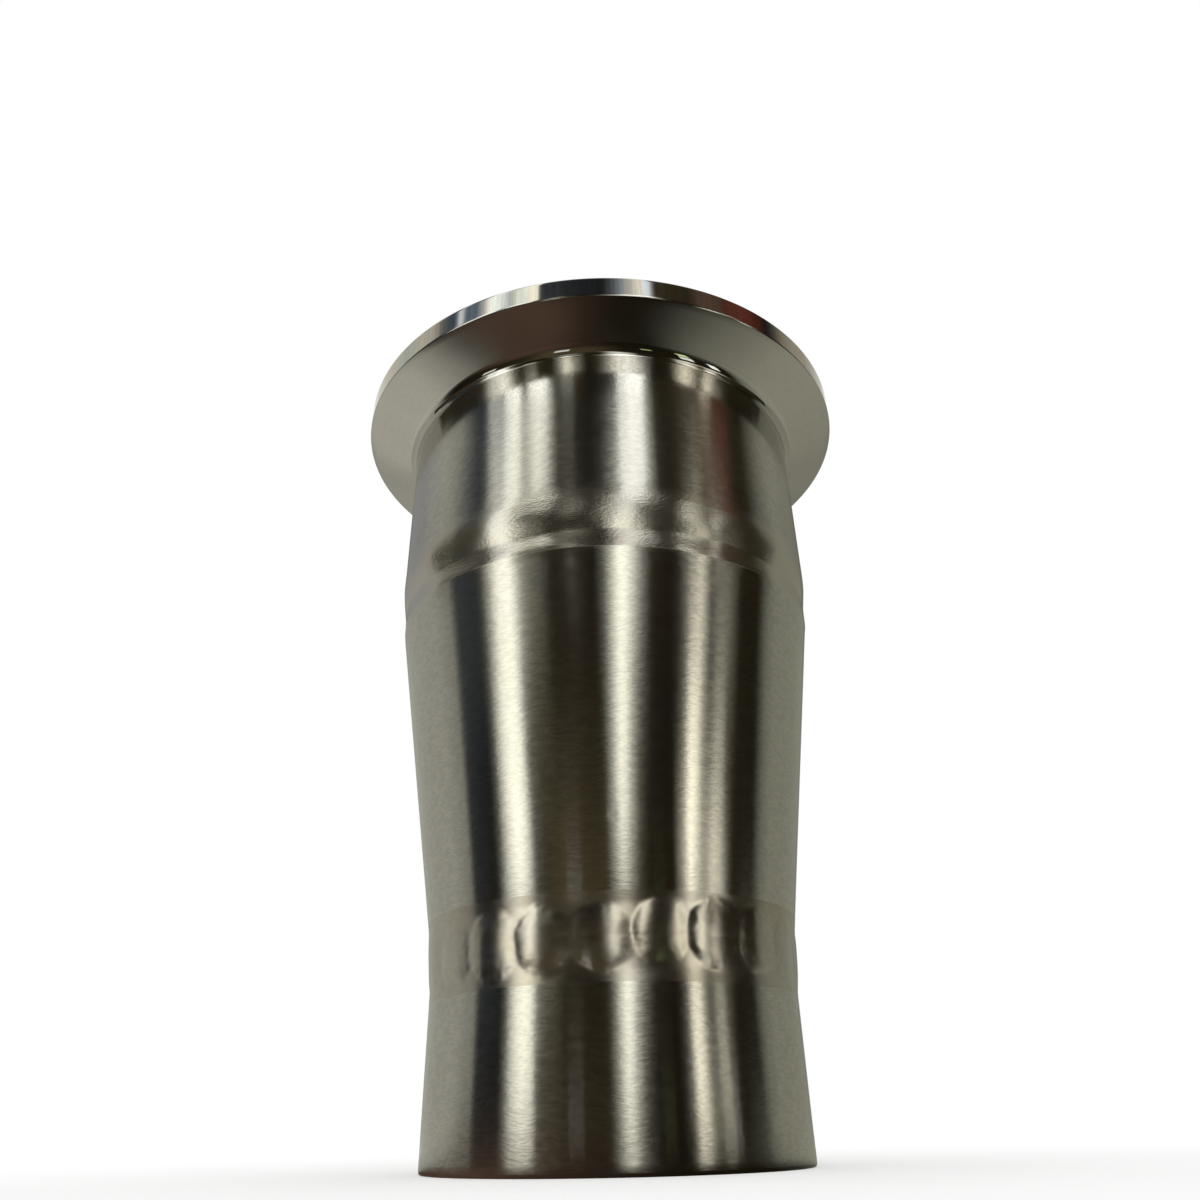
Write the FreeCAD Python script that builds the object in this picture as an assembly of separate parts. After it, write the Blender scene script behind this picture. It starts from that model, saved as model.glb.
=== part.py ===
import FreeCAD, Part
import math
import os

# Sanitary clamp adapter: a turned clamp ferrule, a rolled conical reducer and a plain tube end,
# butt welded one above the other. All pieces are rings about the Z axis. The origin is the centre
# of the tube end's cut face, +Z runs up through the reducer to the clamp face. Millimetres.

# Clamp flange
flange_diameter = 63.9
rim_thickness = 2.85
back_angle = 20.0
rim_edge_break = 0.2

# Gasket groove in the clamp face: a shallow round-bottomed ring
groove_mean_diameter = 56.3
groove_arc_radius = 2.34
groove_depth = 1.6

# Tubes
large_tube_diameter = 50.8
small_tube_diameter = 38.1
wall = 1.65
neck_fillet_radius = 1.8
bore_edge_break = 0.25

# Lengths between the cut faces and the middles of the two welds
ferrule_length = 28.8
reducer_length = 40.3
tube_end_length = 18.2

# Upper weld: its width outside and at the root, the height of the level lip that the grinder has
# left on the reducer's side, and the bulge of the shoulder that runs from there up to the tube
upper_bead_width = 6.1
upper_root_width = 2.3
upper_lip_height = 2.1
upper_shoulder_bulge = 0.09

# Lower weld: its width at the root, and its puddles, low domed discs that lap over one another like
# scales. A disc's edge lies just under the surface, so that its dome runs out there. Their size and
# their height on the seam wander a little. The first puddle's angle is in degrees.
lower_root_width = 2.0
puddle_count = 22
puddle_start = 5.3
puddle_radius = 3.0
puddle_edge_height = -0.06
puddle_dome_height = 0.36
puddle_lean = 2.0
puddle_size_wander = 0.04
puddle_drift = 0.35

# Worked out from the sizes above
flange_radius = flange_diameter / 2
large_radius = large_tube_diameter / 2
small_radius = small_tube_diameter / 2
lower_joint_z = tube_end_length
upper_joint_z = lower_joint_z + reducer_length
clamp_face_z = upper_joint_z + ferrule_length
taper = (large_radius - small_radius) / reducer_length
cone_wall = wall * math.hypot(1.0, taper)

# The lower weld is as wide as its widest and furthest drifted puddle reaches.
most_wander = 1.6
most_drift = 1.7
puddle_reach = puddle_radius * (1 + most_wander * puddle_size_wander) + most_drift * puddle_drift
lower_bead_width = 2 * puddle_reach


def point(radius, z, angle=0.0):
    """A point at this radius and height, turned about the Z axis by angle in radians."""
    return FreeCAD.Vector(radius * math.cos(angle), radius * math.sin(angle), z)


def line(start, end):
    """A straight edge of a section, between two (radius, z) pairs."""
    return Part.LineSegment(point(*start), point(*end)).toShape()


def arc(start, middle, end):
    """A round edge of a section, through three (radius, z) pairs."""
    return Part.Arc(point(*start), point(*middle), point(*end)).toShape()


def ring(edges):
    """The solid that a closed section makes when it turns once about the Z axis."""
    section = Part.Face(Part.Wire(edges))
    return section.revolve(FreeCAD.Vector(0, 0, 0), FreeCAD.Vector(0, 0, 1), 360)


def polygon(corners):
    """The edges of a closed section with straight sides, from its (radius, z) corners."""
    return [line(a, b) for a, b in zip(corners, corners[1:] + corners[:1])]


def cone_radius(z):
    """Outer radius of the reducer at height z."""
    return small_radius + (z - lower_joint_z) * taper


def tube_corners(radius, joint_z, bead_width, root_width, side):
    """Inner and outer corner of a tube where it meets a weld; side is 1 above the joint, -1 below."""
    inner = (radius - wall, joint_z + side * root_width / 2)
    outer = (radius, joint_z + side * bead_width / 2)
    return inner, outer


def cone_corners(joint_z, bead_width, root_width, side):
    """The same two corners on the reducer, whose radius changes with height."""
    inner_z = joint_z + side * root_width / 2
    outer_z = joint_z + side * bead_width / 2
    return (cone_radius(inner_z) - cone_wall, inner_z), (cone_radius(outer_z), outer_z)


def groove_corners():
    """The inner lip, the lowest point and the outer lip of the clamp face's groove."""
    mean = groove_mean_diameter / 2
    rise = groove_arc_radius - groove_depth
    half_width = math.sqrt(groove_arc_radius**2 - rise**2)
    inner_lip = (mean - half_width, clamp_face_z)
    bottom = (mean, clamp_face_z - groove_depth)
    outer_lip = (mean + half_width, clamp_face_z)
    return inner_lip, bottom, outer_lip


def neck_fillet():
    """Where the fillet leaves the flange's back, its middle, and where it meets the tube."""
    slope = math.radians(back_angle)
    radius = neck_fillet_radius
    centre_r = large_radius + radius
    # The flange's back runs inward and down from the rim; the fillet's centre keeps off it by the radius.
    back_z = clamp_face_z - rim_thickness - (flange_radius - centre_r) * math.tan(slope)
    centre_z = back_z - radius / math.cos(slope)
    half = (math.pi / 2 + slope) / 2
    on_back = (centre_r - radius * math.sin(slope), centre_z + radius * math.cos(slope))
    middle = (centre_r - radius * math.sin(half), centre_z + radius * math.cos(half))
    on_tube = (large_radius, centre_z)
    return on_back, middle, on_tube


def clamp_ferrule():
    """Turned ferrule: grooved clamp face, rim, sloping back, neck fillet and tube."""
    inner_lip, groove_bottom, outer_lip = groove_corners()
    on_back, fillet_middle, on_tube = neck_fillet()
    weld_inner, weld_outer = tube_corners(
        large_radius, upper_joint_z, upper_bead_width, upper_root_width, 1
    )
    slope = math.radians(back_angle)
    bore = large_radius - wall
    back_z = clamp_face_z - rim_thickness
    bore_top = (bore, clamp_face_z - bore_edge_break)
    face_inner = (bore + bore_edge_break, clamp_face_z)
    face_outer = (flange_radius - rim_edge_break, clamp_face_z)
    rim_top = (flange_radius, clamp_face_z - rim_edge_break)
    rim_bottom = (flange_radius, back_z + rim_edge_break)
    back_start = (
        flange_radius - rim_edge_break * math.cos(slope),
        back_z - rim_edge_break * math.sin(slope),
    )
    return ring(
        [
            line(face_inner, inner_lip),
            arc(inner_lip, groove_bottom, outer_lip),
            line(outer_lip, face_outer),
            line(face_outer, rim_top),
            line(rim_top, rim_bottom),
            line(rim_bottom, back_start),
            line(back_start, on_back),
            arc(on_back, fillet_middle, on_tube),
            line(on_tube, weld_outer),
            line(weld_outer, weld_inner),
            line(weld_inner, bore_top),
            line(bore_top, face_inner),
        ]
    )


def reducer_cone():
    """Conical shell from the large tube size down to the small one, between the two welds."""
    top_inner, top_outer = cone_corners(upper_joint_z, upper_bead_width, upper_root_width, -1)
    low_inner, low_outer = cone_corners(lower_joint_z, lower_bead_width, lower_root_width, 1)
    return ring(polygon([top_inner, top_outer, low_outer, low_inner]))


def tube_end():
    """Plain tube stub under the lower weld, cut square below with both edges broken."""
    inner, outer = tube_corners(
        small_radius, lower_joint_z, lower_bead_width, lower_root_width, -1
    )
    bore = small_radius - wall
    edge = bore_edge_break
    foot = [(small_radius, edge), (small_radius - edge, 0), (bore + edge, 0), (bore, edge)]
    return ring(polygon([inner, outer] + foot))


def upper_weld():
    """Upper weld, ground by hand: a rounded shoulder below the ferrule's tube, then a level lip."""
    above_inner, above_outer = tube_corners(
        large_radius, upper_joint_z, upper_bead_width, upper_root_width, 1
    )
    below_inner, below_outer = cone_corners(
        upper_joint_z, upper_bead_width, upper_root_width, -1
    )
    lip_top = (below_outer[0], below_outer[1] + upper_lip_height)
    shoulder = (
        (above_outer[0] + lip_top[0]) / 2 + upper_shoulder_bulge,
        (above_outer[1] + lip_top[1]) / 2,
    )
    return ring(
        [
            line(above_inner, above_outer),
            arc(above_outer, shoulder, lip_top),
            line(lip_top, below_outer),
            line(below_outer, below_inner),
            line(below_inner, above_inner),
        ]
    )


def lower_fill():
    """Metal that fills the lower joint, level from toe to toe."""
    above_inner, above_outer = cone_corners(
        lower_joint_z, lower_bead_width, lower_root_width, 1
    )
    below_inner, below_outer = tube_corners(
        small_radius, lower_joint_z, lower_bead_width, lower_root_width, -1
    )
    return ring(polygon([above_inner, above_outer, below_outer, below_inner]))


def puddle(number):
    """One puddle of the lower weld: a domed disc that leans along the seam, in its place by number."""
    angle = 2 * math.pi * number / puddle_count
    wander = math.sin(5 * angle) + (most_wander - 1) * math.sin(11 * angle + 1.0)
    drift = math.sin(3 * angle - 1.1) + (most_drift - 1) * math.sin(8 * angle)
    radius = puddle_radius * (1 + puddle_size_wander * wander)
    depth = wall / 2
    # The dome is part of a ball that meets the disc's edge, with a small flat at its crown.
    ball = (radius**2 + puddle_dome_height**2) / (2 * puddle_dome_height)
    ball_z = puddle_edge_height + puddle_dome_height - ball
    flat = radius * 0.2
    shoulder = radius * 0.66
    low_centre = FreeCAD.Vector(0, 0, -depth)
    low_edge = FreeCAD.Vector(radius, 0, -depth)
    edge = FreeCAD.Vector(radius, 0, puddle_edge_height)
    dome_middle = FreeCAD.Vector(shoulder, 0, ball_z + math.sqrt(ball**2 - shoulder**2))
    flat_edge = FreeCAD.Vector(flat, 0, ball_z + math.sqrt(ball**2 - flat**2))
    crown = FreeCAD.Vector(0, 0, flat_edge.z)
    section = Part.Wire(
        [
            Part.LineSegment(low_centre, low_edge).toShape(),
            Part.LineSegment(low_edge, edge).toShape(),
            Part.Arc(edge, dome_middle, flat_edge).toShape(),
            Part.LineSegment(flat_edge, crown).toShape(),
            Part.LineSegment(crown, low_centre).toShape(),
        ]
    )
    disc = Part.Face(section).revolve(FreeCAD.Vector(0, 0, 0), FreeCAD.Vector(0, 0, 1), 360)
    # The disc faces outward, follows half the reducer's slope and leans along the seam.
    half_taper = math.degrees(math.atan(taper)) / 2
    disc.rotate(FreeCAD.Vector(0, 0, 0), FreeCAD.Vector(0, 1, 0), 90 + half_taper)
    disc.rotate(FreeCAD.Vector(0, 0, 0), FreeCAD.Vector(0, 0, 1), puddle_lean)
    lift = radius * math.tan(math.radians(half_taper))
    disc.translate(FreeCAD.Vector(small_radius + lift, 0, lower_joint_z + puddle_drift * drift))
    place = puddle_start + math.degrees(angle)
    disc.rotate(FreeCAD.Vector(0, 0, 0), FreeCAD.Vector(0, 0, 1), place)
    return disc


def lower_weld(reducer, tube):
    """Lower weld, left as laid: the filled joint and its puddles, which lap on to both neighbours."""
    puddles = [puddle(number) for number in range(puddle_count)]
    bead = lower_fill().multiFuse(puddles)
    return bead.cut(reducer).cut(tube)


def main():
    """Build every piece and write one STEP file for each."""
    os.makedirs("parts", exist_ok=True)
    reducer = reducer_cone()
    tube = tube_end()
    pieces = {
        "clamp_ferrule": clamp_ferrule(),
        "upper_weld": upper_weld(),
        "reducer_cone": reducer,
        "lower_weld": lower_weld(reducer, tube),
        "tube_end": tube,
    }
    for name, solid in pieces.items():
        solid.exportStep("parts/" + name + ".step")
        print(name, "solids", len(solid.Solids), "valid", solid.isValid(), "volume", round(solid.Volume, 2))


main()
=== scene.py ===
"""Looks of the sanitary clamp adapter: smooth meshes, steel finishes, studio light and camera.

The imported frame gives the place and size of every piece. The sizes written here are in
millimetres, and each mesh is made in metres on the frame's own axes.
"""

import logging
import math
from collections.abc import Sequence
from dataclasses import dataclass, field
from enum import Enum
from typing import ClassVar

import bpy
import bmesh
from mathutils import Matrix, Vector, noise


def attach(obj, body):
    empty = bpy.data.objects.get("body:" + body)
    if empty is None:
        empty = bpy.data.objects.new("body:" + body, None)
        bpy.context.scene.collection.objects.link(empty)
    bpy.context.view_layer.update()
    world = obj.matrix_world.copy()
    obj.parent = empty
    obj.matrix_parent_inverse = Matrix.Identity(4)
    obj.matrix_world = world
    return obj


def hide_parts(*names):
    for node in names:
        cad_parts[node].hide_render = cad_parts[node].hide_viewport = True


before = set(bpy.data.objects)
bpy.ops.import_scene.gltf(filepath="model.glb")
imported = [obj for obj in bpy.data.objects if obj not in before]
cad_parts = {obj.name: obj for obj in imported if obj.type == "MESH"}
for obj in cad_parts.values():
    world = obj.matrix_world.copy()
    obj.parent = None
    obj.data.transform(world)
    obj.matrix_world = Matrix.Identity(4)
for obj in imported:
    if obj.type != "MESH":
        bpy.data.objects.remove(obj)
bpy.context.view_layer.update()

log = logging.getLogger("clamp_adapter")

MM = 0.001
UM = 0.000001
FULL_TURN = 2 * math.pi
BODY = "root"
LAID = "laid"
TURNED_SHARP = 22
LAID_SHARP = 75
CARD_LIFT = 0.0004

Pair = tuple[float, float]
Colour = tuple[float, float, float]
Ring = tuple[tuple[float, float] | tuple[float, float, Colour], ...]


class Grain(Enum):
    """How the scratches of a finish lie on the steel."""

    AROUND = "around"
    CROSSED = "crossed"
    UPRIGHT = "upright"


class Stretch(Enum):
    """The stretches of an outline, each with a finish of its own."""

    POLISHED = "polished"
    TURNED = "turned"
    RIM = "rim"
    TUBE = "tube"
    BORE = "bore"


class Value:
    """One output socket that takes part in arithmetic. Each operator adds a Math node."""

    def __init__(self, tree: "Tree", socket: bpy.types.NodeSocket) -> None:
        """Keep the socket and the tree that it belongs to."""
        self.tree = tree
        self.socket = socket

    def apply(self, operation: str, *others: "Value | float") -> "Value":
        """Self put through a Math operation by its name, with any further operands."""
        return self.tree.math(operation, self, *others)

    def __add__(self, other: "Value | float") -> "Value":
        """Self plus other."""
        return self.apply("ADD", other)

    def __radd__(self, other: float) -> "Value":
        """Other plus self."""
        return self.apply("ADD", other)

    def __sub__(self, other: "Value | float") -> "Value":
        """Self minus other."""
        return self.apply("SUBTRACT", other)

    def __rsub__(self, other: float) -> "Value":
        """Other minus self."""
        return self.tree.math("SUBTRACT", other, self)

    def __mul__(self, other: "Value | float") -> "Value":
        """Self times other."""
        return self.apply("MULTIPLY", other)

    def __rmul__(self, other: float) -> "Value":
        """Other times self."""
        return self.apply("MULTIPLY", other)

    def __truediv__(self, other: "Value | float") -> "Value":
        """Self over other."""
        return self.apply("DIVIDE", other)

    def __rtruediv__(self, other: float) -> "Value":
        """Other over self."""
        return self.tree.math("DIVIDE", other, self)

    def __neg__(self) -> "Value":
        """Self with its sign turned."""
        return self.apply("MULTIPLY", -1.0)

    def __abs__(self) -> "Value":
        """Self without its sign."""
        return self.apply("ABSOLUTE")

    def between(self, low: float, high: float) -> "Value":
        """Self kept from low to high."""
        return self.apply("MAXIMUM", low).apply("MINIMUM", high)

    def step(self, low: "Value | float", high: "Value | float") -> "Value":
        """A smooth step of self from 0 at low to 1 at high."""
        ends = {"Value": self, "From Min": low, "From Max": high}
        return self.tree.value("ShaderNodeMapRange", {"interpolation_type": "SMOOTHSTEP"}, ends, "Result")


class Tree:
    """Adds nodes to one shader, world or geometry tree."""

    def __init__(self, nodes: bpy.types.NodeTree) -> None:
        """Keep the node tree that is being filled."""
        self.nodes = nodes

    def node(self, kind: str, settings: dict | None = None, values: dict | None = None) -> bpy.types.Node:
        """Add one node.

        Args:
            kind: the node's type name.
            settings: its properties, set first; "stops" are the (place, colour) pairs of a ramp.
            values: numbers, colours, Values or sockets for its inputs, by name or place.

        Returns:
            The new node.
        """
        node = self.nodes.nodes.new(kind)
        for name, setting in (settings or {}).items():
            if name == "stops":
                self._set_stops(node.color_ramp, setting)
            else:
                setattr(node, name, setting)
        for name, value in (values or {}).items():
            socket = node.inputs[name]
            if isinstance(value, Value):
                value = value.socket
            if isinstance(value, bpy.types.NodeSocket):
                self.nodes.links.new(value, socket)
            else:
                socket.default_value = (*value, 1.0) if socket.type == "RGBA" else value
        return node

    @staticmethod
    def _set_stops(ramp: bpy.types.ColorRamp, stops: Sequence[tuple[float, Colour]]) -> None:
        """Give a ramp its stops.

        Args:
            ramp: the ramp, as new.
            stops: place and colour of each stop, in order of place.
        """
        ramp.elements.remove(ramp.elements[1])
        ramp.elements[0].position = stops[0][0]
        ramp.elements[0].color = (*stops[0][1], 1.0)
        for place, colour in stops[1:]:
            ramp.elements.new(place).color = (*colour, 1.0)

    def value(
        self, kind: str, settings: dict | None = None, values: dict | None = None, out: str | int = 0
    ) -> Value:
        """Add one node as node() does, and wrap its output of the name or place out."""
        return Value(self, self.node(kind, settings, values).outputs[out])

    def math(self, operation: str, *operands: "Value | float") -> Value:
        """A Math node with these operands, as a Value."""
        return self.value("ShaderNodeMath", {"operation": operation}, dict(enumerate(operands)))

    def vector(self, x: "Value | float", y: "Value | float", z: "Value | float") -> Value:
        """Three values as one vector."""
        return self.value("ShaderNodeCombineXYZ", None, {0: x, 1: y, 2: z})

    def split(self, vector: Value) -> tuple[Value, Value, Value]:
        """The three values of a vector."""
        node = self.node("ShaderNodeSeparateXYZ", None, {0: vector})
        return tuple(Value(self, node.outputs[i]) for i in range(3))

    def noise(
        self, vector: Value, scale: float = 1.0, detail: float = 2.0, roughness: float = 0.5
    ) -> Value:
        """Noise between 0 and 1 read at a vector."""
        values = {"Vector": vector, "Scale": scale, "Detail": detail, "Roughness": roughness}
        return self.value("ShaderNodeTexNoise", {"noise_dimensions": "3D"}, values)

    def blend(self, factor: Value, first: "Value | Colour", second: "Value | Colour") -> Value:
        """Two colours mixed by a factor, through a Mix node."""
        return self.value("ShaderNodeMix", {"data_type": "RGBA"}, {0: factor, 6: first, 7: second}, 2)

    def mix(self, factor: Value, first: Value, second: Value) -> Value:
        """Two shaders mixed by a factor."""
        return self.value("ShaderNodeMixShader", None, {0: factor, 1: first, 2: second})

    def glow(self, colour: "Value | Colour", strength: float) -> Value:
        """A shader that gives off light of a colour."""
        return self.value("ShaderNodeEmission", None, {"Color": colour, "Strength": strength})

    def show(self, shader: Value) -> None:
        """Make a shader the one that the material shows."""
        self.node("ShaderNodeOutputMaterial", None, {"Surface": shader})


def new_material(name: str) -> tuple[bpy.types.Material, Tree, Value]:
    """Make a material with an empty tree.

    Args:
        name: its name.

    Returns:
        The material, its tree, and the position on the piece in metres.
    """
    material = bpy.data.materials.new(name)
    material.use_nodes = True
    material.node_tree.nodes.clear()
    tree = Tree(material.node_tree)
    return material, tree, tree.value("ShaderNodeTexCoord", None, None, "Object")


def ramp(value: float, low: float, high: float) -> float:
    """How far a number has come on its way from low to high, from 0 to 1."""
    return min(1.0, max(0.0, (value - low) / (high - low)))


@dataclass(frozen=True)
class Steel:
    """One finish on bare stainless steel.

    Attributes:
        colour: colour of the metal.
        roughness: middle roughness of the shader.
        wander: how far patches of the surface differ in roughness.
        anisotropy: how much longer a highlight is across the scratches than along them.
        grain: how the scratches lie.
        depth_um: depth of the scratches in micrometres.
        per_mm: scratches for each millimetre across them.
        length_mm: length of one scratch.
        contrast: how far the scratches differ in brightness.
        crossing: the turns of three layers of crossed scratches.
    """

    colour: Colour
    roughness: float
    wander: float
    anisotropy: float
    grain: Grain
    depth_um: float
    per_mm: float
    length_mm: float
    contrast: float = 0.12
    crossing: tuple[tuple[float, float, float], ...] = (
        (0.5, 0.3, 0.2),
        (-0.7, 0.4, 1.4),
        (0.2, -0.9, 2.6),
    )

    def grain_height(self, tree: Tree, place: Value) -> Value:
        """Height of the scratches over the surface.

        Args:
            tree: the material's tree.
            place: position on the piece in metres.

        Returns:
            A value of about 0 to 1 that changes fast across the scratches and slowly along them.
        """
        along = 1.0 / (self.length_mm * MM)
        across = self.per_mm / MM
        if self.grain is Grain.CROSSED:
            layers = []
            for turn in self.crossing:
                values = {"Vector": place, "Rotation": turn, "Scale": (along, along, across)}
                layers.append(tree.noise(tree.value("ShaderNodeMapping", None, values), roughness=0.6))
            return layers[0].apply("MINIMUM", layers[1]).apply("MINIMUM", layers[2]) * 2.0
        x, y, z = tree.split(place)
        if self.grain is Grain.UPRIGHT:
            return tree.noise(tree.vector(x * across, y * across, z * along), roughness=0.6)
        waver = tree.noise(place, scale=260.0, detail=1.0) * MM
        level = (z + waver + (x * x + y * y).apply("SQRT")) * across
        fine = tree.noise(tree.vector(x * along, y * along, level), roughness=0.6)
        broad = tree.noise(tree.vector(x * (along * 0.6), y * (along * 0.6), level * 0.3), detail=1.0)
        return fine * 0.6 + broad * 0.4

    def shader(
        self, tree: Tree, place: Value, tint: "Value | None" = None, wear: "Value | float" = 0.0
    ) -> Value:
        """The shader of this finish.

        Args:
            tree: the material's tree.
            place: position on the piece in metres.
            tint: a colour that takes the place of the metal's own, if any.
            wear: from 0 for the scratches as they are to 1 where they are worn away.

        Returns:
            The shader.
        """
        height = self.grain_height(tree, place)
        patches = tree.noise(place, scale=180.0, detail=3.0, roughness=0.55)
        flecks = height.step(0.38, 0.62)
        rough = self.roughness + (patches - 0.5) * self.wander + (flecks - 0.5) * (self.wander * 0.4)
        bump = {"Strength": 1.0, "Distance": self.depth_um * UM, "Height": height * (1.0 - wear)}
        shade = {0: tint or self.colour, "Scale": 0.86 + patches * 0.1 + flecks * self.contrast}
        values = {
            "Base Color": tree.value("ShaderNodeVectorMath", {"operation": "SCALE"}, shade),
            "Metallic": 1.0,
            "Roughness": rough.apply("MAXIMUM", 0.02),
            "Anisotropic": self.anisotropy,
            "Anisotropic Rotation": 0.25,
            "Normal": tree.value("ShaderNodeBump", None, bump),
            "Tangent": tree.value("ShaderNodeTangent", {"direction_type": "RADIAL", "axis": "Z"}),
        }
        return tree.value("ShaderNodeBsdfPrincipled", None, values)


@dataclass(frozen=True)
class Run:
    """The two tube sizes, the cone between them and the seams that join them, in millimetres."""

    large_radius: float = 25.4
    small_radius: float = 19.05
    wall: float = 1.65
    lower_seam: float = 18.2
    upper_seam: float = 58.5
    top: float = 87.3
    upper_half: float = 3.05
    upper_root_half: float = 1.15
    lower_half: float = 3.79
    lower_root_half: float = 1.0

    @property
    def upper_low(self) -> float:
        """Height of the upper weld's lower edge."""
        return self.upper_seam - self.upper_half

    @property
    def upper_high(self) -> float:
        """Height of the upper weld's upper edge."""
        return self.upper_seam + self.upper_half

    @property
    def taper(self) -> float:
        """How much the cone's radius grows for each millimetre of height."""
        return (self.large_radius - self.small_radius) / (self.upper_seam - self.lower_seam)

    @property
    def cone_wall(self) -> float:
        """The cone's wall, measured level."""
        return self.wall * math.hypot(1.0, self.taper)

    def cone_radius(self, height: float) -> float:
        """Outer radius of the cone at a height."""
        return self.small_radius + (height - self.lower_seam) * self.taper

    def outer_radius(self, height: float) -> float:
        """Radius of the tubes or the cone at a height, whichever lies there."""
        cone = self.large_radius if height > self.upper_seam else self.cone_radius(height)
        return self.small_radius if height < self.lower_seam else cone


@dataclass(frozen=True)
class Ding:
    """A small dent: degrees to the right of the front, height, width and depth in millimetres."""

    angle: float
    height: float
    width: float
    depth: float

    def offset(self, radius: float, height: float, angle: float) -> float:
        """How far the dent moves the surface.

        Args:
            radius: radius of the surface in millimetres.
            height: height of the place.
            angle: its angle about the axis in radians.

        Returns:
            The shift in millimetres, inwards where it is below 0.
        """
        front = math.radians(self.angle - 90.0)
        around = (angle - front + math.pi) % FULL_TURN - math.pi
        distance = math.hypot(around * radius, height - self.height) / self.width
        return -self.depth * math.exp(-distance * distance)


@dataclass(frozen=True)
class HandWork:
    """The small unevenness that rolling, grinding and handling leave in the outside.

    Attributes:
        run: the sizes of the tubes and seams.
        wave: depth of the slow waves all over.
        wave_length: their length.
        grind: depth of the grinder's flats over the upper seam.
        grind_length: their length.
        grind_below: heights over the weld's lower edge between which the flats set in.
        grind_above: heights over its upper edge between which they set in, from above.
        even_above: heights over the lower seam between which the unevenness sets in.
        even_below: depths under the lower seam between which it sets in.
        even_neck: heights between which it sets in, down from the neck.
        foot: height up to which the tube's end stays even.
        skin: how far from the outside a corner may lie to be moved.
        dings: small dents.
    """

    run: Run
    wave: float = 0.018
    wave_length: float = 11.0
    grind: float = 0.07
    grind_length: float = 4.0
    grind_below: Pair = (-1.0, 0.5)
    grind_above: Pair = (2.5, -1.0)
    even_above: Pair = (4.0, 8.0)
    even_below: Pair = (4.5, 7.5)
    even_neck: Pair = (82.0, 76.0)
    foot: float = 1.0
    skin: float = 0.7
    dings: tuple[Ding, ...] = (
        Ding(11.5, 43.5, 0.3, 0.014),
        Ding(1.0, 28.5, 0.35, 0.014),
        Ding(-52.0, 38.0, 0.5, 0.02),
        Ding(130.0, 44.0, 0.6, 0.03),
        Ding(-140.0, 33.0, 0.5, 0.03),
    )

    def _grinding(self, spot: Vector, height: float) -> float:
        """How far the grinder's flats lie from the even surface at a spot over the upper seam."""
        near = ramp(height - self.run.upper_low, *self.grind_below)
        near *= ramp(height - self.run.upper_high, *self.grind_above)
        return self.grind * near * noise.noise(spot / self.grind_length + Vector((7.0, 3.0, 1.0)))

    def move(self, radius: float, height: float, angle: float) -> float:
        """Where a corner comes to lie once the outside is uneven; the bore stays as it was.

        Args:
            radius: radius of the corner in millimetres.
            height: its height.
            angle: its angle about the axis in radians.

        Returns:
            Its new radius.
        """
        above = height - self.run.lower_seam
        fade = max(ramp(above, *self.even_above), ramp(-above, *self.even_below))
        fade *= ramp(height, *self.even_neck)
        if abs(radius - self.run.outer_radius(height)) > self.skin or fade == 0.0 or height < self.foot:
            return radius
        spot = Vector((math.cos(angle) * radius, math.sin(angle) * radius, height * 0.6))
        shift = self.wave * noise.noise(spot / self.wave_length)
        spot.z = height * 1.4
        shift += self._grinding(spot, height)
        shift += sum(ding.offset(radius, height, angle) for ding in self.dings)
        return radius + shift * fade


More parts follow.
